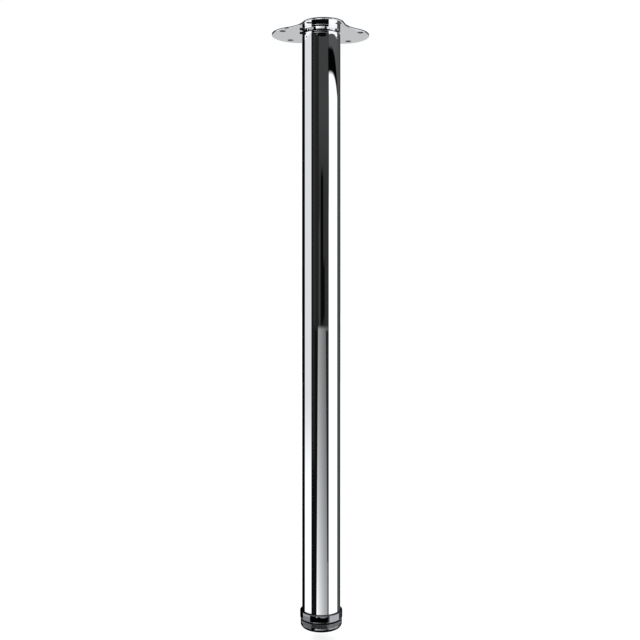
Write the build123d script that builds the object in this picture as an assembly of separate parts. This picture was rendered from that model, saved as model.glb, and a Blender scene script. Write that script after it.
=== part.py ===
from build123d import *
import math
import os

# Table leg: a tall chrome tube with a three-lobed fixing plate on top and a
# screw-adjusted levelling foot below. Frame: Z up, floor at Z = 0, leg axis on
# Z, narrow lobe of the plate towards -Y. All sizes in millimetres.

OVERALL_H = 930.0

# Fixing plate
PLATE_T = 3.0
FRONT_LOBE_R = 32.0           # narrow lobe, towards -Y
FRONT_LOBE_Y = -46.6
SIDE_LOBE_R = 43.3            # two wide lobes
SIDE_LOBE_X = 33.5
SIDE_LOBE_Y = 15.5
FRONT_NOTCH_R = 50.0          # concave blends between the lobes
BACK_NOTCH_R = 62.0
PLATE_EDGE_R = 0.9
HOLE_R = 2.6                  # screw holes, countersunk from below
CSK_R = 4.8
FRONT_PAIR = (22.0, -56.5)    # hole centres, mirrored in X
MID_PAIR = (60.5, -9.0)
BACK_PAIR = (46.5, 41.5)

# Spigot riveted into the plate
SPIGOT_R = 13.0
SPIGOT_L = 34.0
RIVET_R = 8.0
SPIGOT_CHAMFER = 1.5
SPIGOT_LAND = 0.2             # full diameter left under the plate
GROOVE_DEPTH = 1.2            # V groove for the set screw

# Adaptor in the top of the tube
RIM_R = 29.8                  # rim that shows above the tube
RIM_H = 3.0
SHOULDER_R = 24.5             # where the cone above the rim meets the plate
SHOULDER_H = 3.0
PLUG_L = 30.0
PLUG_LEAD = 2.0               # taper at the plug's lower end
PLUG_LEAD_IN = 0.6
ADAPTOR_WALL = 3.0
ADAPTOR_ROOF = 6.0            # solid left over the cored ring
CORE_CHAMFER = 2.0
BORE_FIT = 0.05               # sliding fit on the spigot, radial

# Set screw through the rim into the spigot's groove
SET_SCREW_R = 2.0
SET_SCREW_END_R = 36.0        # outer end, from the leg axis
SET_SCREW_AZ = 200.0          # degrees from +X
SET_SCREW_TIP = 0.6
SET_SCREW_EDGE = 0.35
SET_SCREW_KEY_AF = 2.0
SET_SCREW_KEY_DEPTH = 2.5

# Tube
TUBE_R = 30.0
TUBE_WALL = 1.2

# Foot collar
COLLAR_R = 33.2
COLLAR_H = 11.5
COLLAR_FLOOR_T = 2.0
COLLAR_EDGE = 1.4             # chamfers
COLLAR_TOP_EDGE = 1.0

# Threaded plug and nut in the bottom of the tube
BASE_PLUG_L = 26.0
BASE_PLUG_WALL = 2.5
BASE_PLUG_FLOOR_T = 3.0
BASE_PLUG_RIBS = 6
BASE_PLUG_RIB_W = 4.0
BASE_PLUG_RIB_DROP = 4.0      # ribs end below the plug's top
BASE_PLUG_HUB_R = 14.5
NUT_AF = 17.0
NUT_T = 8.0
NUT_CORNER = 0.45             # corners turned off
NUT_CHAMFER = 0.5
NUT_SEAT_CLEAR = 0.1
THREAD_FIT = 0.05             # running fit of the stud in the nut, radial
STUD_CLEAR = 0.6              # stud in the other bores, radial

# Levelling foot
FOOT_R = 32.4
FOOT_H = 14.6                 # top of the cup above the floor
FOOT_GAP = 2.1                # dark joint under the collar, foot fully in
FOOT_ROUND_R = 7.0
FOOT_TOP_R = 0.8
FOOT_WELL_R = 13.0            # shallow well round the stud
FOOT_WELL_DEPTH = 1.0
STUD_R = 5.0
STUD_L = 48.0                 # above the top of the cup
STUD_SEAT = 4.0               # pressed into the cup, from the cup's top
STUD_CHAMFER = 1.0
PAD_R = 24.0
PAD_T = 4.0
PAD_LIP = 1.0                 # how far the pad stands out below the cup
PAD_EDGE = 0.8
PAD_PIN_R = 4.0
PAD_PIN_L = 5.0
PAD_FIT = 0.3
PIN_FIT = 0.08

# Heights worked out from the sizes above
PLATE_Z = OVERALL_H - PLATE_T
RIM_Z = PLATE_Z - SHOULDER_H
TUBE_TOP_Z = RIM_Z - RIM_H
SCREW_Z = RIM_Z
COLLAR_Z = FOOT_H + FOOT_GAP
TUBE_BASE_Z = COLLAR_Z + COLLAR_FLOOR_T
TUBE_BORE_R = TUBE_R - TUBE_WALL

CUT_OVER = 1.0                # how far a cutter runs past a face
UPRIGHT = (Align.CENTER, Align.CENTER, Align.MIN)


def rod(radius, z0, z1):
    """A plain cylinder between two heights."""
    return Pos(0, 0, z0) * Cylinder(radius, z1 - z0, align=UPRIGHT)


def ring(outer, inner, z0, z1):
    """A plain ring between two heights."""
    return rod(outer, z0, z1) - rod(inner, z0 - CUT_OVER, z1 + CUT_OVER)


def turned(points):
    """Body turned from a closed outline of radius and height."""
    with BuildSketch(Plane.XZ) as outline:
        with BuildLine():
            Polyline(points + points[:1])
        make_face()
    return revolve(outline.sketch, Axis.Z)


def tangent_arc_centre(c1, r1, c2, r2, g):
    """Centre of the concave arc of radius g that touches two lobes."""
    dx, dy = c2[0] - c1[0], c2[1] - c1[1]
    apart = math.hypot(dx, dy)
    along = ((r1 + g) ** 2 - (r2 + g) ** 2 + apart ** 2) / (2 * apart)
    off = math.sqrt((r1 + g) ** 2 - along ** 2)
    ux, uy = dx / apart, dy / apart
    return (c1[0] + along * ux + off * uy, c1[1] + along * uy - off * ux)


def toward(c, p, r):
    """Point at distance r from c in the direction of p."""
    apart = math.hypot(p[0] - c[0], p[1] - c[1])
    return (c[0] + r * (p[0] - c[0]) / apart, c[1] + r * (p[1] - c[1]) / apart)


def mirror_x(p):
    """The same point on the other side of the leg."""
    return (-p[0], p[1])


def plate_outline():
    """Three lobes joined by tangent concave arcs, mirrored in X."""
    front = (0.0, FRONT_LOBE_Y)
    side = (SIDE_LOBE_X, SIDE_LOBE_Y)
    notch = tangent_arc_centre(front, FRONT_LOBE_R, side, SIDE_LOBE_R, FRONT_NOTCH_R)
    back_y = SIDE_LOBE_Y + math.sqrt((SIDE_LOBE_R + BACK_NOTCH_R) ** 2 - SIDE_LOBE_X ** 2)
    back = (0.0, back_y)
    front_end = toward(front, notch, FRONT_LOBE_R)
    side_start = toward(side, notch, SIDE_LOBE_R)
    side_end = toward(side, back, SIDE_LOBE_R)
    front_tip = (0.0, FRONT_LOBE_Y - FRONT_LOBE_R)
    side_tip = (SIDE_LOBE_X + SIDE_LOBE_R, SIDE_LOBE_Y)
    notch_mid = toward(notch, (0.0, 0.0), FRONT_NOTCH_R)
    back_mid = (0.0, back_y - BACK_NOTCH_R)
    with BuildLine() as line:
        ThreePointArc(mirror_x(front_end), front_tip, front_end)
        ThreePointArc(front_end, notch_mid, side_start)
        ThreePointArc(side_start, side_tip, side_end)
        ThreePointArc(side_end, back_mid, mirror_x(side_end))
        ThreePointArc(mirror_x(side_end), mirror_x(side_tip), mirror_x(side_start))
        ThreePointArc(mirror_x(side_start), mirror_x(notch_mid), mirror_x(front_end))
    return make_face(line.line.edges())


def make_plate():
    """Lobed plate with rounded rims, six countersunk holes and the rivet's hole."""
    plate = extrude(Pos(0, 0, PLATE_Z) * plate_outline(), PLATE_T)
    levels = plate.faces().sort_by(Axis.Z)
    plate = fillet(levels[0].edges() + levels[-1].edges(), PLATE_EDGE_R)
    low, high = PLATE_Z - CUT_OVER, OVERALL_H + CUT_OVER
    sink = Cone(CSK_R, HOLE_R, CSK_R - HOLE_R, align=UPRIGHT)
    for x, y in (FRONT_PAIR, MID_PAIR, BACK_PAIR):
        for side in (-1, 1):
            plate -= Pos(side * x, y, 0) * rod(HOLE_R, low, high)
            plate -= Pos(side * x, y, PLATE_Z) * sink
    return plate - rod(RIVET_R, low, high)


def make_spigot():
    """Turned pin, riveted flush into the plate, grooved for the set screw."""
    base = PLATE_Z - SPIGOT_L
    groove_r = SPIGOT_R - GROOVE_DEPTH
    return turned([
        (0, base), (SPIGOT_R - SPIGOT_CHAMFER, base), (SPIGOT_R, base + SPIGOT_CHAMFER),
        (SPIGOT_R, SCREW_Z - SET_SCREW_R - GROOVE_DEPTH), (groove_r, SCREW_Z - SET_SCREW_R),
        (groove_r, SCREW_Z + SET_SCREW_R), (SPIGOT_R, PLATE_Z - SPIGOT_LAND),
        (SPIGOT_R, PLATE_Z), (RIVET_R, PLATE_Z), (RIVET_R, OVERALL_H), (0, OVERALL_H)])


def screw_plane():
    """Plane on the leg's axis that faces along the set screw."""
    turn = math.radians(SET_SCREW_AZ)
    out = Vector(math.cos(turn), math.sin(turn), 0)
    return Plane(origin=(0, 0, SCREW_Z), x_dir=(0, 0, 1), z_dir=out)


def make_adaptor():
    """Coned shoulder, rim and plug in one casting, cored out from below."""
    bore = SPIGOT_R + BORE_FIT
    base = TUBE_TOP_Z - PLUG_L
    roof = RIM_Z - ADAPTOR_ROOF
    core_in = bore + ADAPTOR_WALL
    core_out = TUBE_BORE_R - ADAPTOR_WALL
    body = turned([
        (bore, base), (core_in, base), (core_in, roof),
        (core_out - CORE_CHAMFER, roof), (core_out, roof - CORE_CHAMFER), (core_out, base),
        (TUBE_BORE_R - PLUG_LEAD_IN, base), (TUBE_BORE_R, base + PLUG_LEAD),
        (TUBE_BORE_R, TUBE_TOP_Z), (RIM_R, TUBE_TOP_Z), (RIM_R, RIM_Z),
        (SHOULDER_R, PLATE_Z), (bore, PLATE_Z)])
    return body - extrude(screw_plane() * Circle(SET_SCREW_R), SET_SCREW_END_R)


def make_set_screw():
    """Socket set screw that stands out of the rim."""
    plane = screw_plane()
    along = Axis(plane.origin, plane.z_dir)
    start = SPIGOT_R - GROOVE_DEPTH
    screw = extrude(plane.offset(start) * Circle(SET_SCREW_R), SET_SCREW_END_R - start)
    screw = chamfer(screw.faces().sort_by(along)[0].edges(), SET_SCREW_TIP)
    screw = chamfer(screw.faces().sort_by(along)[-1].edges(), SET_SCREW_EDGE)
    key = RegularPolygon(SET_SCREW_KEY_AF / 2, 6, major_radius=False)
    return screw - extrude(plane.offset(SET_SCREW_END_R) * key, -SET_SCREW_KEY_DEPTH)


def make_tube():
    """The leg's tube, square at both ends."""
    return ring(TUBE_R, TUBE_BORE_R, TUBE_BASE_Z, TUBE_TOP_Z)


def make_collar():
    """Cap ring over the tube's lower end, with a floor under the tube."""
    bore = STUD_R + STUD_CLEAR
    top = COLLAR_Z + COLLAR_H
    return turned([
        (bore, COLLAR_Z), (COLLAR_R - COLLAR_EDGE, COLLAR_Z),
        (COLLAR_R, COLLAR_Z + COLLAR_EDGE), (COLLAR_R, top - COLLAR_TOP_EDGE),
        (COLLAR_R - COLLAR_TOP_EDGE, top), (TUBE_R, top),
        (TUBE_R, TUBE_BASE_Z), (bore, TUBE_BASE_Z)])


def make_base_plug():
    """Ribbed plug pressed into the tube, with a hexagon pocket for the nut."""
    bore = STUD_R + STUD_CLEAR
    z0, z1 = TUBE_BASE_Z, TUBE_BASE_Z + BASE_PLUG_L
    skin_r = TUBE_BORE_R - BASE_PLUG_WALL
    rib_in = (BASE_PLUG_HUB_R + bore) / 2
    rib_out = (skin_r + TUBE_BORE_R) / 2
    plug = ring(TUBE_BORE_R, skin_r, z0, z1)
    plug += ring(BASE_PLUG_HUB_R, bore, z0, z1)
    plug += ring(rib_out, bore, z0, z0 + BASE_PLUG_FLOOR_T)
    rib = Box(rib_out - rib_in, BASE_PLUG_RIB_W, BASE_PLUG_L - BASE_PLUG_RIB_DROP,
              align=(Align.MIN, Align.CENTER, Align.MIN))
    for k in range(BASE_PLUG_RIBS):
        plug += Rot(0, 0, 360 / BASE_PLUG_RIBS * k) * Pos(rib_in, 0, z0) * rib
    plug -= rod(bore, z0 - CUT_OVER, z1 + CUT_OVER)
    pocket = RegularPolygon(NUT_AF / 2 + NUT_SEAT_CLEAR, 6, major_radius=False)
    return plug - extrude(Pos(0, 0, z1 - NUT_T) * pocket, NUT_T + CUT_OVER)


def make_nut():
    """Hexagon nut with turned corners, flush with the plug's top."""
    z1 = TUBE_BASE_Z + BASE_PLUG_L
    z0 = z1 - NUT_T
    hexagon = extrude(Pos(0, 0, z0) * RegularPolygon(NUT_AF / 2, 6, major_radius=False), NUT_T)
    corner_r = NUT_AF / 2 / math.cos(math.pi / 6) - NUT_CORNER
    blank = rod(corner_r, z0, z1)
    blank = chamfer(blank.edges().filter_by(GeomType.CIRCLE), NUT_CHAMFER)
    return (hexagon & blank) - rod(STUD_R + THREAD_FIT, z0 - CUT_OVER, z1 + CUT_OVER)


def make_foot_cup():
    """Turned cup with a rounded lower edge and a recess for the floor pad."""
    recess_r = PAD_R + PAD_FIT
    recess_z = PAD_T + PAD_FIT
    pin_r = PAD_PIN_R + PIN_FIT
    pin_z = PAD_T + PAD_PIN_L + PAD_FIT
    body = rod(FOOT_R, PAD_LIP, FOOT_H)
    body = fillet(body.edges().sort_by(Axis.Z)[0], FOOT_ROUND_R)
    body = fillet(body.edges().sort_by(Axis.Z)[-1], FOOT_TOP_R)
    body -= rod(recess_r, PAD_LIP - CUT_OVER, recess_z)
    body -= rod(pin_r, PAD_LIP - CUT_OVER, pin_z)
    body -= rod(FOOT_WELL_R, FOOT_H - FOOT_WELL_DEPTH, FOOT_H + CUT_OVER)
    return body - rod(STUD_R, FOOT_H - STUD_SEAT, FOOT_H)


def make_stud():
    """Stud pressed into the cup, plain in place of its thread."""
    stud = rod(STUD_R, FOOT_H - STUD_SEAT, FOOT_H + STUD_L)
    return chamfer(stud.faces().sort_by(Axis.Z)[-1].edges(), STUD_CHAMFER)


def make_pad():
    """Floor pad with a centre pin that snaps into the cup."""
    pin_top = PAD_T + PAD_PIN_L
    return turned([
        (0, 0), (PAD_R - PAD_EDGE, 0), (PAD_R, PAD_EDGE), (PAD_R, PAD_T),
        (PAD_PIN_R, PAD_T), (PAD_PIN_R, pin_top - PAD_EDGE),
        (PAD_PIN_R - PAD_EDGE, pin_top), (0, pin_top)])


PIECES = {
    "mounting_plate": make_plate,
    "plate_spigot": make_spigot,
    "top_adaptor": make_adaptor,
    "set_screw": make_set_screw,
    "leg_tube": make_tube,
    "foot_collar": make_collar,
    "base_plug": make_base_plug,
    "thread_nut": make_nut,
    "foot_cup": make_foot_cup,
    "foot_stud": make_stud,
    "floor_pad": make_pad,
}

os.makedirs("parts", exist_ok=True)
for name, maker in PIECES.items():
    solids = maker().solids()
    if len(solids) != 1:
        raise ValueError(f"{name}: {len(solids)} solids")
    piece = solids[0]
    piece.label = name
    export_step(piece, f"parts/{name}.step")
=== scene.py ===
"""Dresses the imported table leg: chrome tube and plate, dark chrome foot, studio and camera."""

import logging
import math
from dataclasses import dataclass, field
from enum import Enum

import bpy
from mathutils import Matrix, Vector

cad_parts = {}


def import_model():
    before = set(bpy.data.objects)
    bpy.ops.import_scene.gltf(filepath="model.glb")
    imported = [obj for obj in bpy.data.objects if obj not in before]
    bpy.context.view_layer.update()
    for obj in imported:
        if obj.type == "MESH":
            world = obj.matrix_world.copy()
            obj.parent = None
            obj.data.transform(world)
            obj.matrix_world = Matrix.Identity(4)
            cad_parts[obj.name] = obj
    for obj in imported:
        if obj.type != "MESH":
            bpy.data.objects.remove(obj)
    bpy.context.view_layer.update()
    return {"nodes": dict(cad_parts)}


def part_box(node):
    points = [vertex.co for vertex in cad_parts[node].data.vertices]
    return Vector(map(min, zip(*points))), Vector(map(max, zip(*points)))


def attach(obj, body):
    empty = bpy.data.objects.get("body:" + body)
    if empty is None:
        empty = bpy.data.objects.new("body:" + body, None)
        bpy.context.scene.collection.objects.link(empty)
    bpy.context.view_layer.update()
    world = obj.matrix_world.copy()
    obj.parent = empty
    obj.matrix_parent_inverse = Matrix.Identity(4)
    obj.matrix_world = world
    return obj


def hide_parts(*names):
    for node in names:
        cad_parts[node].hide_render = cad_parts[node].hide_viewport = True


LOG = logging.getLogger("table_leg")
MM = 0.001
SEGMENTS = 192            # steps of a round piece
TUBE_SEGMENTS = 256
PIN_SEGMENTS = 96
SMALL_SEGMENTS = 48       # screws and cutters
ARC_STEPS = 6             # steps along a small rounded edge
NEAR = 0.02               # keeps faces that touch apart, millimetres
SAME = MM / 500           # points this close become one, metres
LEVEL = MM / 100          # heights this close count as level
Point = tuple[float, float, float]
Pair = tuple[float, float]
Piece = bpy.types.Object
Socket = bpy.types.NodeSocket


class Body(Enum):
    """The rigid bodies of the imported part."""

    LEG = "leg"
    PAD = "pad"
    FOOT = "foot"


class Tone(Enum):
    """Base colours of the metals and plastics, as linear RGB."""

    BRIGHT_CHROME = (0.93, 0.93, 0.935)
    DARK_CHROME = (0.36, 0.365, 0.39)
    CAST_CHROME = (0.27, 0.275, 0.29)
    ZINC = (0.62, 0.63, 0.65)
    BLACK_OXIDE = (0.012, 0.012, 0.013)
    BARE_BORE = (0.10, 0.10, 0.105)
    BLACK_PLASTIC = (0.018, 0.018, 0.019)


def deselect() -> None:
    """Leaves edit mode and selects nothing."""
    if bpy.context.object and bpy.context.object.mode != "OBJECT":
        bpy.ops.object.mode_set(mode="OBJECT")
    bpy.ops.object.select_all(action="DESELECT")


def socket(node: bpy.types.Node, name: str, value: object) -> None:
    """Sets an input of a node by its name."""
    node.inputs[name].default_value = value


class Graph:
    """A new material's node tree, wired one step at a time."""

    def __init__(self, name: str, tone: Tone) -> None:
        """Makes the material with its base colour.

        Args:
            name: Its name.
            tone: Its base colour.
        """
        self.material = bpy.data.materials.new(name)
        self.material.use_nodes = True
        self.nodes = self.material.node_tree.nodes
        self.links = self.material.node_tree.links
        self.shader = self.nodes["Principled BSDF"]
        socket(self.shader, "Base Color", (*tone.value, 1.0))
        self.place = self.nodes.new("ShaderNodeTexCoord").outputs["Object"]

    def stretch(self, along: float, around: float) -> Socket:
        """Scales the coordinates, so that noise of scale 1 gets a size of its own.

        Args:
            along: Its size along the axis, in metres.
            around: Its size around the axis.

        Returns:
            The scaled coordinates.
        """
        node = self.nodes.new("ShaderNodeMapping")
        socket(node, "Scale", (1 / around, 1 / around, 1 / along))
        self.links.new(self.place, node.inputs["Vector"])
        return node.outputs["Vector"]

    def noise(self, where: Socket, scale: float, detail: float) -> Socket:
        """Adds noise.

        Args:
            where: Coordinates that it follows.
            scale: How fine it is.
            detail: Number of finer layers in it.

        Returns:
            Its value.
        """
        node = self.nodes.new("ShaderNodeTexNoise")
        socket(node, "Scale", scale)
        socket(node, "Detail", detail)
        self.links.new(where, node.inputs["Vector"])
        return node.outputs["Fac"]

    def roughen(self, noise: Socket, gloss: Pair, dull: Pair = (0.0, 1.0)) -> None:
        """Lets the roughness follow the noise.

        Args:
            noise: The noise.
            gloss: Lowest and highest roughness.
            dull: Noise values between which the roughness rises.
        """
        node = self.nodes.new("ShaderNodeMapRange")
        ends = ("From Min", "From Max", "To Min", "To Max")
        for name, value in zip(ends, (*dull, *gloss)):
            socket(node, name, value)
        self.links.new(noise, node.inputs["Value"])
        self.links.new(node.outputs["Result"], self.shader.inputs["Roughness"])

    def ripple(self, noise: Socket, strength: float, depth: float) -> None:
        """Lets the surface rise and fall with the noise.

        Args:
            noise: The noise.
            strength: How strong the effect is.
            depth: How deep it goes, in metres.
        """
        node = self.nodes.new("ShaderNodeBump")
        socket(node, "Strength", strength)
        socket(node, "Distance", depth)
        self.links.new(noise, node.inputs["Height"])
        self.links.new(node.outputs["Normal"], self.shader.inputs["Normal"])


@dataclass(frozen=True)
class Metal:
    """A plated or turned metal with fine polishing marks and a faint waviness.

    Args:
        name: Material name.
        tone: Base colour.
        gloss: Lowest and highest roughness.
        dull: Noise values between which the roughness rises.
        marks: Size of the polishing marks along and around the axis, in metres.
        wave: Strength of the waviness.
        wave_depth: Its depth, in metres.
        waves_per_metre: How fine it is.
    """

    name: str
    tone: Tone
    gloss: Pair = (0.003, 0.03)
    dull: Pair = (0.54, 0.75)
    marks: Pair = (0.004, 0.0006)
    wave: float = 0.004
    wave_depth: float = 0.0005
    waves_per_metre: float = 60.0

    def build(self) -> bpy.types.Material:
        """Makes the node tree.

        Returns:
            The finished material.
        """
        graph = Graph(self.name, self.tone)
        socket(graph.shader, "Metallic", 1.0)
        polish = graph.noise(graph.stretch(*self.marks), scale=1.0, detail=4.0)
        graph.roughen(polish, self.gloss, self.dull)
        waves = graph.noise(graph.place, self.waves_per_metre, detail=1.0)
        graph.ripple(waves, self.wave, self.wave_depth)
        return graph.material


@dataclass(frozen=True)
class Moulded:
    """Black moulded plastic with a fine satin grain.

    Args:
        name: Material name.
        tone: Base colour.
        gloss: Lowest and highest roughness.
        grain: Size of the grain, in metres.
        relief: Strength of the grain.
        relief_depth: Its depth, in metres.
    """

    name: str
    tone: Tone
    gloss: Pair = (0.38, 0.6)
    grain: float = 0.0006
    relief: float = 0.25
    relief_depth: float = 0.0002

    def build(self) -> bpy.types.Material:
        """Makes the node tree.

        Returns:
            The finished material.
        """
        graph = Graph(self.name, self.tone)
        grain = graph.noise(graph.place, 1 / self.grain, detail=3.0)
        graph.roughen(grain, self.gloss)
        graph.ripple(grain, self.relief, self.relief_depth)
        return graph.material


class Finishes:
    """Every finish of the leg, made once."""

    def __init__(self) -> None:
        """Builds the materials."""
        self.chrome = Metal("bright_chrome", Tone.BRIGHT_CHROME).build()
        self.dark_chrome = Metal(
            "dark_chrome_plate", Tone.DARK_CHROME, gloss=(0.003, 0.06)).build()
        self.cast_chrome = Metal("cast_dark_chrome", Tone.CAST_CHROME, gloss=(0.003, 0.12),
                                 wave=0.5, waves_per_metre=200.0).build()
        self.zinc = Metal("zinc_plate", Tone.ZINC, gloss=(0.22, 0.38), wave=0.1).build()
        self.oxide = Metal("black_oxide", Tone.BLACK_OXIDE, gloss=(0.3, 0.45)).build()
        self.bore = Metal("bare_bore", Tone.BARE_BORE, gloss=(0.45, 0.6), wave=0.1).build()
        self.plastic = Moulded("moulded_black", Tone.BLACK_PLASTIC).build()


def arc(centre: Pair, radius: float, start: float, end: float,
        steps: int = ARC_STEPS) -> list[Pair]:
    """Points along an arc.

    Args:
        centre: Its centre.
        radius: Its radius.
        start: First angle, in degrees.
        end: Last angle, in degrees.
        steps: Number of steps.

    Returns:
        The points, both ends included.
    """
    angles = [math.radians(start + (end - start) * i / steps) for i in range(steps + 1)]
    return [(centre[0] + radius * math.cos(a), centre[1] + radius * math.sin(a)) for a in angles]


class Bench:
    """Makes meshes the way a hand does: traces, spins, extrudes and finishes them."""

    @staticmethod
    def trace(name: str, points: list[Point]) -> Piece:
        """Draws a line of vertices by extruding one vertex from point to point.

        Args:
            name: Name of the new object.
            points: The points, in metres.

        Returns:
            The object, left in edit mode with everything selected.
        """
        deselect()
        bpy.ops.mesh.primitive_plane_add(size=MM, location=(0, 0, 0))
        piece = bpy.context.object
        piece.name = name
        bpy.ops.object.mode_set(mode="EDIT")
        bpy.ops.mesh.select_all(action="SELECT")
        bpy.ops.mesh.merge(type="CENTER")
        bpy.ops.transform.translate(value=points[0])
        for before, after in zip(points, points[1:]):
            step = tuple(b - a for a, b in zip(before, after))
            bpy.ops.mesh.extrude_vertices_move(TRANSFORM_OT_translate={"value": step})
        bpy.ops.mesh.select_all(action="SELECT")
        bpy.ops.mesh.remove_doubles(threshold=MM / 1000)
        return piece

    @classmethod
    def turn(cls, name: str, outline: list[Pair], segments: int = SEGMENTS) -> Piece:
        """Spins a closed outline of radius and height, in millimetres, about the leg's axis.

        Args:
            name: Name of the new object.
            outline: Points of radius and height, without the first one repeated.
            segments: Steps of the spin.

        Returns:
            The finished object.
        """
        ring = [(r * MM, 0.0, z * MM) for r, z in outline + outline[:1]]
        piece = cls.trace(name, ring)
        bpy.ops.mesh.select_all(action="SELECT")
        bpy.ops.mesh.spin(steps=segments, angle=math.tau, center=(0, 0, 0), axis=(0, 0, 1))
        return cls.finish(piece)

    @staticmethod
    def cut(piece: Piece, tool: Piece) -> None:
        """Cuts a tool's shape out of a piece, and leaves the piece active.

        Args:
            piece: The piece to cut.
            tool: The shape to take out, which is removed afterwards.
        """
        cut = piece.modifiers.new("cut", "BOOLEAN")
        cut.operation = "DIFFERENCE"
        cut.solver = "EXACT"
        cut.object = tool
        deselect()
        piece.select_set(True)
        bpy.context.view_layer.objects.active = piece
        bpy.ops.object.modifier_apply(modifier=cut.name)
        bpy.data.objects.remove(tool)

    @staticmethod
    def wind(profile: Piece, pitch: float, turns: int, steps: int) -> None:
        """Winds the profile of a tooth into a screw thread about the axis.

        Args:
            profile: The traced profile, in edit mode.
            pitch: Rise of one turn, in millimetres.
            turns: Number of turns.
            steps: Steps of one turn.
        """
        bpy.ops.object.mode_set(mode="OBJECT")
        wind = profile.modifiers.new("wind", "SCREW")
        wind.angle = math.tau
        wind.steps = wind.render_steps = steps
        wind.screw_offset = pitch * MM
        wind.iterations = turns
        wind.use_merge_vertices = True
        bpy.ops.object.modifier_apply(modifier=wind.name)

    @staticmethod
    def join(core: Piece, thread: Piece, name: str) -> None:
        """Joins a thread to its core.

        Args:
            core: The core, which stays.
            thread: The thread.
            name: Name of the joined piece.
        """
        deselect()
        thread.select_set(True)
        core.select_set(True)
        bpy.context.view_layer.objects.active = core
        bpy.ops.object.join()
        core.name = name

    @staticmethod
    def finish(piece: Piece, crease: float = 35.0) -> Piece:
        """Merges doubles, turns the normals outwards and smooths the piece.

        Args:
            piece: The object, which is the active one.
            crease: Angle in degrees past which an edge stays sharp.

        Returns:
            The same object.
        """
        if piece.mode != "EDIT":
            bpy.ops.object.mode_set(mode="EDIT")
        bpy.ops.mesh.select_all(action="SELECT")
        bpy.ops.mesh.remove_doubles(threshold=SAME)
        bpy.ops.mesh.dissolve_degenerate(threshold=SAME)
        bpy.ops.mesh.select_all(action="SELECT")
        bpy.ops.mesh.normals_make_consistent(inside=False)
        bpy.ops.object.mode_set(mode="OBJECT")
        bpy.ops.object.shade_smooth_by_angle(angle=math.radians(crease))
        weigh = piece.modifiers.new("weigh", "WEIGHTED_NORMAL")
        weigh.keep_sharp = True
        bpy.ops.object.modifier_apply(modifier=weigh.name)
        return piece

    @staticmethod
    def dress(piece: Piece, material: bpy.types.Material, body: Body,
              slot: str, *nodes: str) -> Piece:
        """Gives a piece its finish, its body and the nodes that it stands for.

        Args:
            piece: The object.
            material: Its finish.
            body: The body that it rides on.
            slot: The record's material slot; not used.
            nodes: CAD nodes that it replaces.

        Returns:
            The same object.
        """
        piece.data.materials.clear()
        piece.data.materials.append(material)
        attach(piece, body.value)
        if nodes:
            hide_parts(*nodes)
        LOG.info("%s: %d faces", piece.name, len(piece.data.polygons))
        return piece


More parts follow.
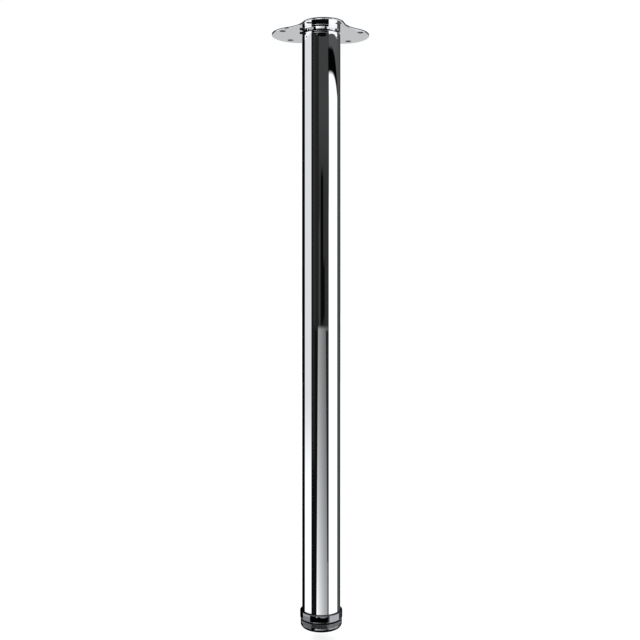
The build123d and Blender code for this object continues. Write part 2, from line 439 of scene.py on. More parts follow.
@dataclass
class FixingPlate:
    """Three-lobed plate with six countersunk holes. Sizes in millimetres."""

    top: float
    thickness: float = 3.0
    front_lobe: tuple[float, float] = (32.0, -46.6)        # radius, Y
    side_lobe: tuple[float, float, float] = (43.3, 33.5, 15.5)   # radius, X, Y
    front_notch: float = 50.0
    back_notch: float = 62.0
    edge: float = 0.9
    edge_steps: int = 5
    spare: float = 1.0                   # how far the cutters pass the plate
    wall_play: float = 0.1
    hole: float = 2.6
    countersink: float = 4.8
    rivet: float = 8.0
    holes: list[Pair] = field(
        default_factory=lambda: [(22.0, -56.5), (60.5, -9.0), (46.5, 41.5)])
    lobe_steps: int = 40

    def outline(self) -> list[Pair]:
        """Works out the lobes and the concave arcs that join them.

        Returns:
            The closed outline, anticlockwise, without its first point repeated.
        """
        fr, fy = self.front_lobe
        sr, sx, sy = self.side_lobe
        g = self.front_notch
        apart = math.hypot(sx, sy - fy)
        along = ((fr + g) ** 2 - (sr + g) ** 2 + apart ** 2) / (2 * apart)
        off = math.sqrt((fr + g) ** 2 - along ** 2)
        ux, uy = sx / apart, (sy - fy) / apart
        notch = (along * ux + off * uy, fy + along * uy - off * ux)
        back = (0.0, sy + math.sqrt((sr + self.back_notch) ** 2 - sx ** 2))
        to_notch = self.angle((0.0, fy), notch)
        from_notch = self.angle((sx, sy), notch)
        to_back = self.angle((sx, sy), back)
        right = arc((0.0, fy), fr, -90.0, to_notch, self.lobe_steps // 2)
        right += arc(notch, g, 180.0 + to_notch, 180.0 + from_notch, self.lobe_steps // 2)[1:]
        right += arc((sx, sy), sr, from_notch, to_back, self.lobe_steps)[1:]
        right += arc(back, self.back_notch, to_back - 180.0, -90.0, self.lobe_steps // 4)[1:]
        left = [(-x, y) for x, y in reversed(right[1:-1])]
        return right + left

    @staticmethod
    def angle(centre: Pair, point: Pair) -> float:
        """Direction from one point to another, in degrees."""
        return math.degrees(math.atan2(point[1] - centre[1], point[0] - centre[0]))

    def build(self) -> Piece:
        """Extrudes the outline, rounds its rims and drills it.

        Returns:
            The finished plate.
        """
        base = self.top - self.thickness
        ring = [(x * MM, y * MM, base * MM) for x, y in self.outline()]
        plate = Bench.trace("lobed_plate", ring + ring[:1])
        bpy.ops.mesh.select_all(action="SELECT")
        bpy.ops.mesh.edge_face_add()
        bpy.ops.mesh.extrude_region_move(
            TRANSFORM_OT_translate={"value": (0, 0, self.thickness * MM)})
        bpy.ops.mesh.select_all(action="SELECT")
        bpy.ops.mesh.normals_make_consistent(inside=False)
        bpy.ops.object.mode_set(mode="OBJECT")
        for edge in plate.data.edges:
            heights = [plate.data.vertices[v].co.z for v in edge.vertices]
            edge.select = abs(heights[0] - heights[1]) < LEVEL
        for face in plate.data.polygons:
            face.select = False
        bpy.ops.object.mode_set(mode="EDIT")
        bpy.ops.mesh.select_mode(type="EDGE")
        bpy.ops.mesh.bevel(offset=self.edge * MM, segments=self.edge_steps, affect="EDGES")
        bpy.ops.mesh.select_mode(type="VERT")
        bpy.ops.object.mode_set(mode="OBJECT")
        self.drill(plate)
        deselect()
        bpy.context.view_layer.objects.active = plate
        plate.select_set(True)
        return Bench.finish(plate, crease=28.0)

    def line_bores(self, plate: Piece, material: bpy.types.Material) -> None:
        """Leaves the walls of the screw holes unpolished.

        Args:
            plate: The dressed plate.
            material: Finish of the walls.
        """
        plate.data.materials.append(material)
        reach = (self.countersink + self.wall_play) * MM
        low, high = (self.top - self.thickness) * MM, self.top * MM
        spots = [(s * x * MM, y * MM) for x, y in self.holes for s in (-1, 1)]
        for face in plate.data.polygons:
            near = min(math.hypot(face.center.x - x, face.center.y - y) for x, y in spots)
            inside = low + LEVEL < face.center.z < high - LEVEL
            if near < reach and inside:
                face.material_index = 1

    def drill(self, plate: Piece) -> None:
        """Cuts the countersunk screw holes and the rivet's hole.

        Args:
            plate: The plate to cut.
        """
        base = self.top - self.thickness
        sink = self.countersink - self.hole
        low, high = base - self.spare, self.top + self.spare
        screw = [(0.0, low), (self.countersink + self.spare, low), (self.hole, base + sink),
                 (self.hole, high), (0.0, high)]
        rivet = [(0.0, low), (self.rivet, low), (self.rivet, high), (0.0, high)]
        spots = [(s * x, y) for x, y in self.holes for s in (-1, 1)]
        cutters = [(screw, spot) for spot in spots] + [(rivet, (0.0, 0.0))]
        for number, (outline, (x, y)) in enumerate(cutters):
            tool = Bench.turn(f"cutter_{number}", outline, SMALL_SEGMENTS)
            tool.data.transform(Matrix.Translation((x * MM, y * MM, 0)))
            Bench.cut(plate, tool)


@dataclass
class TopJoint:
    """Spigot, adaptor and set screw between plate and tube. Sizes in millimetres."""

    plate_base: float
    plate_top: float
    shoulder: float = 24.5
    shoulder_height: float = 3.0
    shoulder_edge: float = 0.1
    rim: float = 29.8
    rim_height: float = 3.0
    rim_edge: float = 0.25
    plug: float = 28.8
    plug_length: float = 30.0
    plug_lead: Pair = (0.6, 2.0)         # its lead-in, across and along
    bore: float = 13.05
    spigot: float = 13.0
    spigot_length: float = 34.0
    spigot_lead: float = 1.5
    spigot_land: float = 0.2             # full width left under the plate
    rivet: float = 8.0
    rivet_edge: Pair = (0.3, 0.25)       # across and along
    groove: float = 1.2
    screw: float = 2.0
    screw_end: float = 36.0
    screw_start: float = 11.8
    screw_azimuth: float = 200.0
    screw_play: float = 0.03
    screw_point: float = 0.5
    screw_edge: float = 0.35
    tap_spare: Pair = (2.0, 4.0)         # how far its hole is cut past bore and rim
    plain_end: float = 2.0               # length of the screw without thread
    run_out: float = 0.3
    pitch: float = 0.7
    crest: Pair = (0.8, 1.2)             # its start and end, in half pitches
    thread_depth: float = 0.35
    thread_steps: int = 32
    key: float = 2.0
    key_depth: float = 2.5

    def adaptor(self) -> Piece:
        """Turns the coned shoulder, rim and plug in one piece.

        Returns:
            The finished adaptor.
        """
        top = self.plate_base
        rim_top = top - self.shoulder_height
        seat = rim_top - self.rim_height
        foot = seat - self.plug_length
        e = self.rim_edge
        across, along = self.plug_lead
        outline = [(self.bore, foot), (self.plug - across, foot), (self.plug, foot + along),
                   (self.plug, seat), (self.rim - e, seat)]
        outline += arc((self.rim - e, seat + e), e, -90, 0, 3)
        outline += arc((self.rim - e, rim_top - e), e, 0, 60, 4)
        outline += [(self.shoulder + e, top - self.shoulder_edge), (self.shoulder, top - NEAR),
                    (self.bore, top - NEAR)]
        adaptor = Bench.turn("tube_adaptor", outline)
        hole = self.screw + self.screw_play
        inner, outer = self.bore - self.tap_spare[0], self.rim + self.tap_spare[1]
        tool = Bench.turn("tap", [(0.0, inner), (hole, inner), (hole, outer), (0.0, outer)],
                          SMALL_SEGMENTS)
        tool.data.transform(self.lay_in_neck())
        Bench.cut(adaptor, tool)
        return Bench.finish(adaptor)

    def lay_in_neck(self) -> Matrix:
        """Turn and place that lay an upright screw across the neck.

        Returns:
            The placement.
        """
        height = self.plate_base - self.shoulder_height
        turn = Matrix.Rotation(math.radians(self.screw_azimuth), 4, "Z")
        lay = Matrix.Rotation(math.radians(90), 4, "Y")
        return Matrix.Translation((0, 0, height * MM)) @ turn @ lay

    def spigot_pin(self) -> Piece:
        """Turns the spigot with its groove and its end riveted flush into the plate.

        Returns:
            The finished spigot.
        """
        top, base = self.plate_top, self.plate_base - self.spigot_length
        screw = self.plate_base - self.shoulder_height
        low, high = screw - self.screw, screw + self.screw
        waist = self.spigot - self.groove
        lead, across, along = self.spigot_lead, *self.rivet_edge
        step, rivet = self.plate_base - NEAR, self.rivet - NEAR
        outline = [(0.0, base), (self.spigot - lead, base), (self.spigot, base + lead),
                   (self.spigot, low - self.groove), (waist, low), (waist, high),
                   (self.spigot, self.plate_base - self.spigot_land), (self.spigot, step),
                   (rivet, step), (rivet, top - along), (self.rivet - across, top), (0.0, top)]
        return Bench.turn("riveted_spigot", outline, PIN_SEGMENTS)

    def set_screw(self) -> Piece:
        """Cuts the screw's thread as a helix, gives it a socket end and lays it in the neck.

        Returns:
            The finished screw.
        """
        length = self.screw_end - self.screw_start
        turns = int((length - self.plain_end) / self.pitch)
        root = self.screw - self.thread_depth
        rise = self.pitch / 2
        tooth = [(root, 0.0), *((self.screw, rise * share) for share in self.crest),
                 (root, self.pitch)]
        thread = Bench.trace("thread", [(r * MM, 0.0, z * MM) for r, z in tooth])
        Bench.wind(thread, self.pitch, turns, self.thread_steps)
        outline = self.core_outline(length, turns * self.pitch)
        core = Bench.turn("screw_core", outline, SMALL_SEGMENTS)
        self.socket_recess(core, length)
        Bench.join(core, thread, "neck_set_screw")
        start = Matrix.Translation((0, 0, self.screw_start * MM))
        core.data.transform(self.lay_in_neck() @ start)
        return Bench.finish(core)

    def core_outline(self, length: float, threaded: float) -> list[Pair]:
        """Outline of the plain core, with a full end past the thread.

        Args:
            length: The screw's length.
            threaded: Length of the thread.

        Returns:
            Points of radius and height.
        """
        root = self.screw - self.thread_depth + NEAR
        point, e = self.screw_point, self.screw_edge
        return [(0.0, 0.0), (root - point, 0.0), (root, point), (root, threaded),
                (self.screw, threaded + self.run_out), (self.screw, length - e),
                (self.screw - e, length), (0.0, length)]

    def socket_recess(self, core: Piece, length: float) -> None:
        """Sinks a hexagon socket into the screw's outer end.

        Args:
            core: The screw's core.
            length: Its length.
        """
        deselect()
        bpy.ops.mesh.primitive_cylinder_add(
            vertices=6, radius=self.key / 2 / math.cos(math.pi / 6) * MM,
            depth=2 * self.key_depth * MM, location=(0, 0, length * MM))
        Bench.cut(core, bpy.context.object)


@dataclass
class Column:
    """The leg's tube. Sizes in millimetres."""

    base: float
    top: float
    radius: float = 30.0
    wall: float = 1.2
    edge: float = 0.25
    ring: float = 1.0                    # an extra ring of vertices this far from each end

    def build(self) -> Piece:
        """Turns the tube with broken edges.

        Returns:
            The finished tube.
        """
        outer, inner, e = self.radius, self.radius - self.wall, self.edge
        outline = [(inner, self.base), (outer - e, self.base), (outer, self.base + e),
                   (outer, self.base + self.ring), (outer, self.top - self.ring)]
        outline += arc((outer - e, self.top - e), e, 0, 90)
        outline += [(inner, self.top)]
        return Bench.turn("chrome_tube", outline, TUBE_SEGMENTS)


@dataclass
class LevellingFoot:
    """Collar, cup, stud and pad under the tube. Sizes in millimetres."""

    collar: float = 33.2
    collar_height: float = 11.5
    collar_base: float = 16.7
    collar_bore: float = 5.6
    collar_edge: float = 1.4
    collar_top_edge: float = 1.0
    tube: float = 30.0
    tube_play: float = 0.05
    collar_floor: float = 2.0
    cup: float = 32.4
    cup_top: float = 14.6
    cup_edge: float = 0.8
    cup_round: float = 7.0
    cup_round_steps: int = 14
    cup_well: float = 13.0
    well_depth: float = 1.0
    pad: float = 24.0
    pad_height: float = 4.0
    pad_lip: float = 1.0
    pad_edge: float = 0.8
    pad_play: float = 0.3
    pad_hollow: Pair = (17.0, 0.6)       # radius and depth, underneath
    pin: float = 4.0
    pin_length: float = 5.0
    pin_play: float = 0.08
    stud: float = 5.0
    stud_top: float = 62.6
    stud_press: float = 2.9              # how deep it is pressed into the cup
    stud_neck: tuple[float, float, float] = (0.1, 0.2, 1.0)   # across, and its two heights
    stud_tip: Pair = (1.0, 0.8)          # across and along
    plain_end: float = 2.0
    pitch: float = 1.5
    thread_depth: float = 0.613          # in pitches, like the tooth
    tooth: tuple[float, float, float] = (0.12, 0.5, 0.62)   # foot, start and end of the crest
    thread_steps: int = 48

    def collar_ring(self) -> Piece:
        """Turns the collar with a rounded top and a softened lower edge.

        Returns:
            The finished collar.
        """
        base, top = self.collar_base, self.collar_base + self.collar_height
        e, r = self.collar_edge, self.collar_top_edge
        seat = base + self.collar_floor
        outline = [(self.collar_bore, base)]
        outline += arc((self.collar - e, base + e), e, -90, 0)
        outline += arc((self.collar - r, top - r), r, 0, 90)
        socket_radius = self.tube + self.tube_play
        outline += [(socket_radius, top), (socket_radius, seat), (self.collar_bore, seat)]
        return Bench.turn("tube_collar", outline)

    def cup_body(self) -> Piece:
        """Turns the cup with its rounded lower edge and the pad's recess.

        Returns:
            The finished cup.
        """
        e, r, low = self.cup_edge, self.cup_round, self.pad_lip
        recess, hole = self.pad_height + self.pad_play, self.pin + self.pin_play
        pin_top = self.pad_height + self.pin_length + self.pad_play
        well = self.cup_top - self.well_depth
        outline = [(self.pad + self.pad_play, low)]
        outline += arc((self.cup - r, low + r), r, -90, 0, self.cup_round_steps)
        outline += arc((self.cup - e, self.cup_top - e), e, 0, 90)
        outline += [(self.cup_well, self.cup_top), (self.cup_well, well), (0.0, well),
                    (0.0, pin_top), (hole, pin_top), (hole, recess),
                    (self.pad + self.pad_play, recess)]
        return Bench.turn("foot_body", outline)

    def pad_disc(self) -> Piece:
        """Turns the pad with its snap pin and a shallow hollow underneath.

        Returns:
            The finished pad.
        """
        top, e = self.pad_height, self.pad_edge
        hollow, depth = self.pad_hollow
        outline = [(0.0, depth), (hollow, depth), (hollow + depth, 0.0), (self.pad - e, 0.0)]
        outline += arc((self.pad - e, e), e, -90, 0)[1:]
        outline += [(self.pad, top), (self.pin, top), (self.pin, top + self.pin_length - e),
                    (self.pin - e, top + self.pin_length), (0.0, top + self.pin_length)]
        return Bench.turn("glide_pad", outline)

    def threaded_stud(self) -> Piece:
        """Winds the stud's thread as a helix around a core with closed ends.

        Returns:
            The finished stud.
        """
        base = self.cup_top - self.well_depth
        turns = int((self.stud_top - base - self.plain_end) / self.pitch)
        root = self.stud - self.thread_depth * self.pitch
        crest = self.stud
        foot, rise, fall = (share * self.pitch for share in self.tooth)
        tooth = [(root, 0.0), (root, foot), (crest, rise), (crest, fall), (root, self.pitch)]
        thread = Bench.trace("stud_thread", [(r * MM, 0.0, (base + z) * MM) for r, z in tooth])
        Bench.wind(thread, self.pitch, turns, self.thread_steps)
        end = base + (turns + 1) * self.pitch
        low, (inset, neck, start) = base - self.stud_press, self.stud_neck
        across, along = self.stud_tip
        core = Bench.turn("stud_core", [
            (0.0, low), (crest - inset, low), (crest - inset, base + neck),
            (root + NEAR, base + start), (root + NEAR, end), (root - across, end + along),
            (0.0, end + along)], SMALL_SEGMENTS)
        Bench.join(core, thread, "threaded_stud")
        return Bench.finish(core)


@dataclass(frozen=True)
class Card:
    """One light or dark card of the studio, as a window of directions.

    Args:
        azimuth: First and last azimuth in degrees, 0 towards the camera, positive to the right.
        slope: Lowest and highest slope above the horizon.
        tone: How bright it is.
        soft: Width of its side edges, in degrees.
        bow: Fall of its top edge to the right of bow_at, per cubic degree.
        bow_at: Azimuth where the top edge begins to fall.
        lean: Turn of its sides per unit of slope, in degrees.
        edge: Width of its upper and lower edges, as a slope.
    """

    azimuth: tuple[float, float]
    slope: tuple[float, float]
    tone: float
    soft: float = 1.5
    bow: float = 0.0
    bow_at: float = 50.0
    lean: float = 0.0
    edge: float = 0.006


class Studio:
    """Camera, lamps, floor, and the world with the cards that the chrome shows."""

    PIXEL = 1.5625 * MM           # one pixel of the photograph, at the leg's axis
    FRAME = 640.0                 # side of the photograph, in pixels
    FOCAL = 913.0                 # in pixels
    HORIZON = 289.0               # image row of the camera's height
    FLOOR_ROW = 626.8             # image row of the floor at the leg's axis
    AXIS_COLUMN = 321.25          # image column of the leg's axis
    TURN = -4.0                   # camera's azimuth about the leg, degrees
    TINT = (1.0, 1.025, 1.045)    # slightly cool light
    SENSOR = 36.0                 # width of the camera's sensor, millimetres
    FOOT_REACH = 20.5 * MM        # the floor lies this far down, so the foot can be screwed out
    UNDER_FOOT = 0.6 * MM         # height of the painted shadow cards and the grey ring around the foot
    MIDDLE = 0.45                 # height that the lamps point at, metres
    EVEN_LIGHT = 0.9              # what everything but a mirror gets from the world
    NEAREST = 0.01                # the camera sees nothing closer, metres
    LEAST_FLAT = 0.001            # keeps the slope finite straight up and down
    FLOOR_SIZE = 40.0             # metres
    FLOOR_ROUGHNESS = 0.9
    FLOOR_BASE = 0.55             # floor's own grey
    FLOOR_GLOW = 0.62             # and the glow that lifts it to white
    DARK = 0.017                  # the dark room between the cards
    FAR_CARDS = (
        Card((-47, -36), (-0.04, 9), 0.028, 5),                   # faint stripe, left of middle
        Card((-14, 46), (-0.04, 9), 0.03, 6),                     # dark room in front
        Card((-14, 46), (0.15, 9), 0.05, 6, edge=0.1),            # its paler upper half
        Card((46, 113), (0.2, 9), 0.088, 2),                      # above the right window
        Card((-180, -114), (-9, 9), 0.002, 2),                    # black behind on the left
        Card((-66, -55), (-9, 9), 0.002),                         # black beside the left window
        Card((-115.5, -61.5), (-9, 0.281), 0.76, 2, edge=0.004),  # left window
        Card((-115.5, -61.5), (-9, -0.17), 1.1, 2, edge=0.12),    # its bright lower half
        Card((-115.5, -61.5), (-9, -0.355), 0.55, 2),             # and the floor below it
        Card((-57, -14), (-9, -0.045), 0.006, 2),                 # black left of the sweep
        Card((-54, -40), (-0.19, -0.045), 0.018, 5, edge=0.05),   # faint stripe in that black
        Card((-15, -8), (-0.04, 0.075), 0.06, 3, edge=0.03),      # thin pale line at the middle
        Card((-2.5, 11.5), (-0.04, 0.13), 0.001, 5, edge=0.02),   # black line beside it
        Card((-2, 21), (-0.036, 0.03), 0.003, 5, edge=0.02),      # its wider foot
    )
    FLOOR_SWEEP = Card((-17.4, 52), (-9, -0.042), 0.0, 2, lean=30.0)   # grey from sweep_tone
    NEAR_CARDS = (
        Card((24.9, 60), (-0.3, -0.045), 0.022, 3, lean=-37),     # dark line right of the sweep
        Card((37, 45), (-9, -0.3), 0.09, 3),                      # and its paler foot
        Card((41.5, 114), (0.225, 0.265), 0.001, 1, bow=1.8e-7),  # black arch over the window
        Card((45.5, 111), (-9, 0.237), 1.1, 1, bow=1.2e-7),       # right window
        Card((44, 47.3), (0.1, 0.225), 0.05, 1, edge=0.08),       # window frame, upper half
        Card((113, 180), (-9, 9), 0.075, 3),                      # grey behind on the right
        Card((145, 182), (-9, 9), 0.035, 8),                      # darker further back
        Card((164, 181), (-9, -0.1), 0.55, 3),                    # floor behind, that the
        Card((-181, -164), (-9, -0.1), 0.55, 3),                  # plate's underside shows
        Card((-181, -113), (-2000, -0.47), 0.45, edge=0.1),       # floor close behind
        Card((113, 181), (-2000, -0.47), 0.45, edge=0.1),
        Card((-181, 181), (0.65, 2000), 0.2, edge=0.3),           # ceiling
        Card((-181, 181), (1.7, 2000), 0.7, edge=0.9),            # bright overhead
    )
    TWICE_SEEN = Card((-60, 46.5), (-0.36, -0.2), 0.003)   # shown by plate and tube together
    SWEEP_GREY = 0.235            # tone of the floor far in front
    SWEEP_RISE = 3.0              # how much paler it gets when near, per square slope
    SWEEP_LIMIT = 0.2             # square slope where that ends
    SWEEP_FADE = 0.018            # fall of the tone to the right, per degree
    SWEEP_MIDDLE = 5.0            # azimuth where the fade leaves it unchanged
    PAINTED_SHADOW_PATCH = ((-0.057, 0.0474), (-0.0228, 0.0732), (0.0369, 0.0665),
                  (0.0567, 0.0931), (-0.021, 0.1078), (-0.0855, 0.063))   # in front of the collar: a black card, painted contact shadow that the collar mirrors
    PAINTED_SHADOW_RADIUS = 0.0375          # black disc under the foot, painted contact shadow that the cup mirrors, metres
    PAINTED_SHADOW_TURN = (0, 352.5)        # azimuths of its first and last corner
    PAINTED_SHADOW_TONE = 0.012
    RING_RADII = (0.05, 0.071)    # grey ring around the foot
    RING_PARTS = (("left", (-108, -42), 0.42), ("middle", (-42, 24), 0.1),
                  ("right", (24, 104), 0.5))
    ARC_PARTS = 24                # straight parts of a ring's arc

    def __init__(self) -> None:
        """Makes the world's node tree ready."""
        world = bpy.data.worlds.new("studio")
        bpy.context.scene.world = world
        world.use_nodes = True
        self.tree = world.node_tree
        self.tree.nodes.clear()

    def operate(self, kind: str, *values: object) -> Socket:
        """Adds a math node.

        Args:
            kind: Its operation.
            values: Numbers or sockets for its inputs.

        Returns:
            Its output.
        """
        node = self.tree.nodes.new("ShaderNodeMath")
        node.operation = kind
        for number, value in enumerate(values):
            self.feed(node.inputs[number], value)
        return node.outputs[0]

    def feed(self, target: Socket, value: object) -> None:
        """Links a socket or sets a number.

        Args:
            target: The input.
            value: A number, or the socket to link.
        """
        if isinstance(value, Socket):
            self.tree.links.new(value, target)
        else:
            target.default_value = value

    def step(self, value: Socket, at: float, soft: float) -> Socket:
        """Rises smoothly from 0 to 1 around a value.

        Args:
            value: What is compared.
            at: Where the step is.
            soft: Width of the step.

        Returns:
            The step's output.
        """
        node = self.tree.nodes.new("ShaderNodeMapRange")
        node.interpolation_type = "SMOOTHSTEP"
        self.feed(node.inputs["Value"], value)
        socket(node, "From Min", at - soft / 2)
        socket(node, "From Max", at + soft / 2)
        return node.outputs["Result"]

    def mask(self, card: Card, azimuth: Socket, slope: Socket) -> Socket:
        """Window of directions that a card fills.

        Args:
            card: The card.
            azimuth: Azimuth of the direction, in degrees.
            slope: Its slope.

        Returns:
            1 inside the card and 0 outside it.
        """
        side = azimuth
        if card.lean:
            side = self.operate("SUBTRACT", azimuth, self.operate("MULTIPLY", slope, card.lean))
        height = slope
        if card.bow:
            beyond = self.operate("SUBTRACT", azimuth, card.bow_at)
            away = self.operate("POWER", self.operate("MAXIMUM", beyond, 0.0), 3.0)
            height = self.operate("ADD", slope, self.operate("MULTIPLY", away, card.bow))
        left = self.step(side, card.azimuth[0], card.soft)
        right = self.operate("SUBTRACT", 1.0, self.step(side, card.azimuth[1], card.soft))
        low = self.step(height, card.slope[0], card.edge)
        high = self.operate("SUBTRACT", 1.0, self.step(height, card.slope[1], card.edge))
        return self.operate("MULTIPLY", self.operate("MULTIPLY", left, right),
                            self.operate("MULTIPLY", low, high))

    def blend(self, under: object, over: object, share: Socket) -> Socket:
        """Lays one tone over another.

        Args:
            under: The lower tone.
            over: The upper tone.
            share: How much of the upper one shows.

        Returns:
            The mixed tone.
        """
        node = self.tree.nodes.new("ShaderNodeMix")
        self.feed(node.inputs["Factor"], share)
        self.feed(node.inputs["A"], under)
        self.feed(node.inputs["B"], over)
        return node.outputs["Result"]

    def paint_world(self) -> None:
        """Lights the object evenly, and gives mirror surfaces the cards to show."""
        nodes, links = self.tree.nodes, self.tree.links
        place = nodes.new("ShaderNodeTexCoord")
        turn = nodes.new("ShaderNodeVectorRotate")
        turn.rotation_type = "Z_AXIS"
        socket(turn, "Angle", math.radians(-self.TURN))
        links.new(place.outputs["Generated"], turn.inputs["Vector"])
        split = nodes.new("ShaderNodeSeparateXYZ")
        links.new(turn.outputs["Vector"], split.inputs["Vector"])
        x, y, z = split.outputs
        back = self.operate("MULTIPLY", y, -1.0)
        azimuth = self.operate("DEGREES", self.operate("ARCTAN2", x, back))
        squares = self.operate("ADD", self.operate("POWER", x, 2.0),
                               self.operate("POWER", y, 2.0))
        flat = self.operate("MAXIMUM", self.operate("SQRT", squares), self.LEAST_FLAT)
        slope = self.operate("DIVIDE", z, flat)
        tone = self.DARK
        for card in self.FAR_CARDS:
            tone = self.blend(tone, card.tone, self.mask(card, azimuth, slope))
        tone = self.blend(tone, self.sweep_tone(azimuth, slope),
                          self.mask(self.FLOOR_SWEEP, azimuth, slope))
        for card in self.NEAR_CARDS:
            tone = self.blend(tone, card.tone, self.mask(card, azimuth, slope))
        path = nodes.new("ShaderNodeLightPath")
        second = self.operate("GREATER_THAN", path.outputs["Glossy Depth"], 1.5)
        share = self.operate("MULTIPLY", second, self.mask(self.TWICE_SEEN, azimuth, slope))
        self.join_rays(self.blend(tone, self.TWICE_SEEN.tone, share))

    def sweep_tone(self, azimuth: Socket, slope: Socket) -> Socket:
        """Grey of the floor in front of the leg, paler when near and to the left.

        Args:
            azimuth: Azimuth of the direction, in degrees.
            slope: Its slope.

        Returns:
            The tone.
        """
        square = self.operate("MINIMUM", self.operate("POWER", slope, 2.0), self.SWEEP_LIMIT)
        depth = self.operate("ADD", self.SWEEP_GREY,
                             self.operate("MULTIPLY", self.SWEEP_RISE, square))
        away = self.operate("SUBTRACT", azimuth, self.SWEEP_MIDDLE)
        across = self.operate("EXPONENT", self.operate("MULTIPLY", -self.SWEEP_FADE, away))
        return self.operate("MULTIPLY", depth, across)

    def join_rays(self, tone: Socket) -> None:
        """Shows white to the camera, the cards to mirrors and an even light to the rest.

        Args:
            tone: The cards' tone.
        """
        nodes, links = self.tree.nodes, self.tree.links
        path = nodes.new("ShaderNodeLightPath")
        cards = self.blend(self.EVEN_LIGHT, tone, path.outputs["Is Glossy Ray"])
        seen = self.operate("MAXIMUM", path.outputs["Is Camera Ray"],
                            path.outputs["Is Transmission Ray"])
        final = self.blend(cards, 1.0, seen)
        cool = nodes.new("ShaderNodeCombineColor")
        for channel, share in zip(cool.inputs, self.TINT):
            self.feed(channel, self.operate("MULTIPLY", final, share))
        background = nodes.new("ShaderNodeBackground")
        links.new(cool.outputs["Color"], background.inputs["Color"])
        output = nodes.new("ShaderNodeOutputWorld")
        links.new(background.outputs["Background"], output.inputs["Surface"])

    def place_camera(self) -> None:
        """Sets the camera level, at the height and distance that the photograph gives."""
        data = bpy.data.cameras.new("camera")
        data.sensor_width = self.SENSOR
        data.lens = self.FOCAL / self.FRAME * self.SENSOR
        data.shift_y = (self.HORIZON - self.FRAME / 2) / self.FRAME
        data.shift_x = (self.FRAME / 2 - self.AXIS_COLUMN) / self.FRAME
        data.clip_start = self.NEAREST
        camera = bpy.data.objects.new("camera", data)
        bpy.context.scene.collection.objects.link(camera)
        distance = self.FOCAL * self.PIXEL
        height = (self.FLOOR_ROW - self.HORIZON) * self.PIXEL
        turn = math.radians(self.TURN)
        camera.location = (distance * math.sin(turn), -distance * math.cos(turn), height)
        camera.rotation_euler = (math.radians(90), 0, turn)
        bpy.context.scene.camera = camera

    def place_floor(self) -> None:
        """Lays a white floor that mirrors don't show, as low as the foot ever reaches."""
        deselect()
        bpy.ops.mesh.primitive_plane_add(size=self.FLOOR_SIZE, location=(0, 0, 0))
        floor = bpy.context.object
        floor.name = "studio_floor"
        floor.data.transform(Matrix.Translation((0, 0, -self.FOOT_REACH)))
        material = bpy.data.materials.new("white_floor")
        material.use_nodes = True
        shader = material.node_tree.nodes["Principled BSDF"]
        grey = self.FLOOR_BASE
        socket(shader, "Base Color", (grey, grey, grey, 1.0))
        socket(shader, "Roughness", self.FLOOR_ROUGHNESS)
        socket(shader, "Specular IOR Level", 0.0)
        socket(shader, "Emission Color", (1.0, 1.0, 1.0, 1.0))
        socket(shader, "Emission Strength", self.FLOOR_GLOW)
        floor.data.materials.append(material)
        floor.visible_glossy = False

    def place_card(self, name: str, corners: list[Point], tone: float = 0.0) -> None:
        """Lays a flat card that only mirrors show.

        Args:
            name: Its name.
            corners: Its corners in metres, as seen from the camera: right, towards it, up.
            tone: How bright it is, black without one.
        """
        card = Bench.trace(name, corners + corners[:1])
        bpy.ops.mesh.select_all(action="SELECT")
        bpy.ops.mesh.edge_face_add()
        bpy.ops.object.mode_set(mode="OBJECT")
        turn = Matrix.Rotation(math.radians(self.TURN), 4, "Z")
        card.data.transform(turn @ Matrix.Scale(-1, 4, (0, 1, 0)))
        material = bpy.data.materials.new(card.name)
        material.use_nodes = True
        nodes, links = material.node_tree.nodes, material.node_tree.links
        nodes.clear()
        glow = nodes.new("ShaderNodeEmission")
        socket(glow, "Strength", tone)
        output = nodes.new("ShaderNodeOutputMaterial")
        links.new(glow.outputs["Emission"], output.inputs["Surface"])
        card.data.materials.append(material)
        card.visible_camera = False
        card.visible_diffuse = False
        card.visible_shadow = False

    def lay_painted_floor_shadow(self) -> None:
        """Lays the black patch and disc, painted contact shadow of the leg, and the grey ring,
        that foot and collar mirror.
        """
        # The patch and the disc are painted contact shadow on the floor, and only the chrome
        # shows them.
        self.place_card("painted_shadow_patch", [(x, y, self.UNDER_FOOT) for x, y in self.PAINTED_SHADOW_PATCH])
        self.place_card("painted_shadow_disc", self.bend(self.PAINTED_SHADOW_RADIUS, self.PAINTED_SHADOW_TURN), self.PAINTED_SHADOW_TONE)
        for part, azimuth, tone in self.RING_PARTS:
            inner, outer = (self.bend(radius, azimuth) for radius in self.RING_RADII)
            self.place_card(f"floor_ring_{part}", inner + outer[::-1], tone)

    @classmethod
    def bend(cls, radius: float, azimuth: Pair) -> list[Point]:
        """Lists points along an arc around the leg, at the height of the foot's underside.

        Args:
            radius: Its radius, in metres.
            azimuth: First and last azimuth in degrees, 0 towards the camera.

        Returns:
            The points, both ends included.
        """
        start, end = azimuth
        turns = [math.radians(start + (end - start) * i / cls.ARC_PARTS)
                 for i in range(cls.ARC_PARTS + 1)]
        return [(radius * math.sin(a), radius * math.cos(a), cls.UNDER_FOOT) for a in turns]

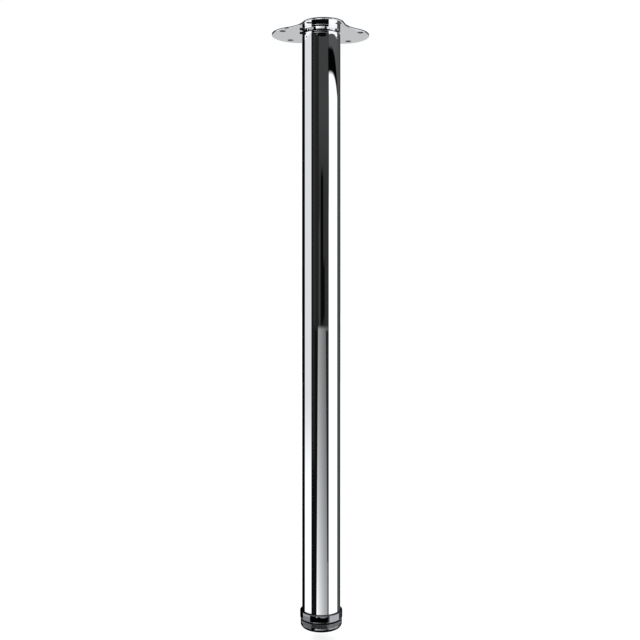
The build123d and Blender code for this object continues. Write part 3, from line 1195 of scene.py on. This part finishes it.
    def place_lamp(self, name: str, location: Point, size: float, power: float) -> None:
        """Adds a large soft lamp that points at the leg's middle.

        Args:
            name: Its name.
            location: Its place, in metres.
            size: Its side, in metres.
            power: Its power, in watts.
        """
        data = bpy.data.lights.new(name, "AREA")
        data.size = size
        data.energy = power
        lamp = bpy.data.objects.new(name, data)
        bpy.context.scene.collection.objects.link(lamp)
        lamp.location = location
        aim = Vector((0, 0, self.MIDDLE)) - lamp.location
        lamp.rotation_euler = aim.to_track_quat("-Z", "Y").to_euler()
        lamp.visible_glossy = False


def main() -> None:
    """Builds the pieces in order, then the studio."""
    logging.basicConfig(level=logging.INFO, format="%(name)s %(message)s")
    bpy.context.scene.view_settings.view_transform = "Standard"
    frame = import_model()
    nodes = frame["nodes"]
    finishes = Finishes()

    plate_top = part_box("mounting_plate")[1].z / MM
    plate_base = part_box("mounting_plate")[0].z / MM
    tube_low, tube_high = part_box("leg_tube")
    fixing = FixingPlate(top=plate_top)
    plate = Bench.dress(fixing.build(), finishes.chrome, Body.LEG, "chrome", "mounting_plate")
    fixing.line_bores(plate, finishes.bore)
    joint = TopJoint(plate_base=plate_base, plate_top=plate_top)
    Bench.dress(joint.spigot_pin(), finishes.zinc, Body.LEG, "zinc", "plate_spigot")
    Bench.dress(joint.adaptor(), finishes.chrome, Body.LEG, "chrome", "top_adaptor")
    Bench.dress(joint.set_screw(), finishes.oxide, Body.LEG, "black_steel", "set_screw")
    Bench.dress(Column(tube_low.z / MM, tube_high.z / MM).build(), finishes.chrome, Body.LEG,
                "chrome", "leg_tube")
    foot = LevellingFoot()
    Bench.dress(foot.collar_ring(), finishes.dark_chrome, Body.LEG, "dark_chrome", "foot_collar")
    Bench.dress(foot.cup_body(), finishes.cast_chrome, Body.FOOT, "dark_chrome", "foot_cup")
    Bench.dress(foot.threaded_stud(), finishes.zinc, Body.FOOT, "zinc", "foot_stud")
    Bench.dress(foot.pad_disc(), finishes.plastic, Body.PAD, "pad_plastic", "floor_pad")
    hidden = {"thread_nut": finishes.zinc, "base_plug": finishes.plastic}
    for name, material in hidden.items():
        for material_slot in nodes[name].material_slots:
            material_slot.material = material

    studio = Studio()
    studio.paint_world()
    studio.place_floor()
    studio.place_camera()
    studio.lay_painted_floor_shadow()
    studio.place_lamp("key", location=(-1.6, -2.0, 2.4), size=1.6, power=45.0)
    studio.place_lamp("fill", location=(2.2, -1.6, 1.6), size=1.6, power=25.0)


if __name__ == "__main__":
    main()
